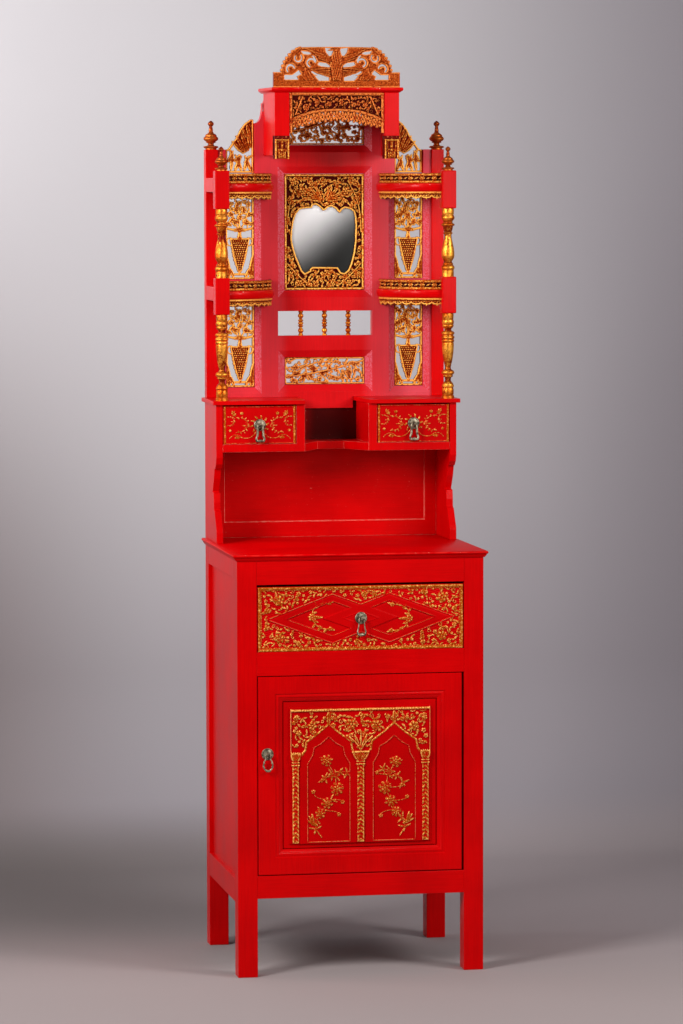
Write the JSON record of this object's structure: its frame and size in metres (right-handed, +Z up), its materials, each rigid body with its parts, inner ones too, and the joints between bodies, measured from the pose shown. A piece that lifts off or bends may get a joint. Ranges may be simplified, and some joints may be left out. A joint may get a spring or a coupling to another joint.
{
  "type": "altar cabinet",
  "caption": "Tall red lacquered and gilded altar cabinet: cupboard, drawers, open alcove, mirrored fretwork back, quarter-round shelves and a small canopy.",
  "frame": {"origin": "on the floor, under the middle of the cabinet's box", "axes": "+Z up, +X to the right as seen from the front, +Y to the back"},
  "size_m": [0.558, 0.466, 2.007],
  "materials": {
    "lacquer": "glossy red lacquer, worn at the edges",
    "gilding": "gilded carving with red and dark ground showing",
    "old_gilding": "worn and darkened gilding",
    "brass": "aged, brown and green",
    "mirror": "silvered glass",
    "bare_wood": "unfinished"
  },
  "bodies": {
    "carcass": {"front_left_leg": "lacquer", "front_right_leg": "lacquer", "rear_left_leg": "lacquer", "rear_right_leg": "lacquer", "left_side_panel": "lacquer", "right_side_panel": "lacquer", "rear_panel": "lacquer", "front_bottom_rail": "lacquer", "front_middle_rail": "lacquer", "front_top_rail": "lacquer", "cupboard_floor": "bare_wood", "drawer_board": "bare_wood", "base_top": "lacquer", "left_bracket_side": "lacquer", "right_bracket_side": "lacquer", "alcove_back": "lacquer", "drawer_unit_floor": "lacquer", "left_unit_top": "lacquer", "right_unit_top": "lacquer", "left_rear_post": "lacquer", "right_rear_post": "lacquer", "left_front_column": "gilding", "right_front_column": "gilding", "back_frame": "lacquer", "left_spindle": "gilding", "middle_spindle": "gilding", "right_spindle": "gilding", "left_lower_wing_fretwork": "gilding", "left_upper_wing_fretwork": "gilding", "right_lower_wing_fretwork": "gilding", "right_upper_wing_fretwork": "gilding", "left_wing_crest": "gilding", "right_wing_crest": "gilding", "lower_fretwork": "gilding", "canopy_back_fretwork": "gilding", "mirror_fretwork": "gilding", "mirror_glass": "mirror", "left_lower_shelf": "lacquer", "left_upper_shelf": "lacquer", "right_lower_shelf": "lacquer", "right_upper_shelf": "lacquer", "canopy_case": "lacquer", "canopy_arch_fretwork": "gilding", "top_crest": "old_gilding"},
    "main_drawer": {"main_drawer_front": "lacquer", "main_drawer_box": "bare_wood", "main_drawer_backplate": "brass"},
    "left_drawer": {"left_drawer_front": "lacquer", "left_drawer_box": "bare_wood", "left_drawer_backplate": "brass"},
    "right_drawer": {"right_drawer_front": "lacquer", "right_drawer_box": "bare_wood", "right_drawer_backplate": "brass"},
    "door": {"door_frame": "lacquer", "door_panel": "lacquer", "door_backplate": "brass"},
    "main_drawer_pull": {"main_drawer_bail": "brass"},
    "left_drawer_pull": {"left_drawer_bail": "brass"},
    "right_drawer_pull": {"right_drawer_bail": "brass"},
    "door_pull": {"door_bail": "brass"}
  },
  "joints": [
    {"name": "main_drawer_slide", "type": "slide", "parent": "carcass", "child": "main_drawer", "axis": [0, -1, 0], "range_m": [0, 0.28]},
    {"name": "left_drawer_slide", "type": "slide", "parent": "carcass", "child": "left_drawer", "axis": [0, -1, 0], "range_m": [0, 0.09]},
    {"name": "right_drawer_slide", "type": "slide", "parent": "carcass", "child": "right_drawer", "axis": [0, -1, 0], "range_m": [0, 0.09]},
    {"name": "door_hinge", "type": "hinge", "parent": "carcass", "child": "door", "pos_m": [0.214, -0.21, 0.43675], "axis": [0, 0, 1], "range_deg": [0, 100]},
    {"name": "main_drawer_bail_pivot", "type": "hinge", "parent": "main_drawer", "child": "main_drawer_pull", "pos_m": [0, -0.2285, 0.77515], "axis": [-1, 0, 0], "range_deg": [0, 85]},
    {"name": "left_drawer_bail_pivot", "type": "hinge", "parent": "left_drawer", "child": "left_drawer_pull", "pos_m": [-0.17275, 0.0565, 1.17715], "axis": [-1, 0, 0], "range_deg": [0, 85]},
    {"name": "right_drawer_bail_pivot", "type": "hinge", "parent": "right_drawer", "child": "right_drawer_pull", "pos_m": [0.17275, 0.0565, 1.17715], "axis": [-1, 0, 0], "range_deg": [0, 85]},
    {"name": "door_bail_pivot", "type": "hinge", "parent": "door", "child": "door_pull", "pos_m": [-0.205, -0.2285, 0.48485], "axis": [-1, 0, 0], "range_deg": [0, 85]}
  ]
}
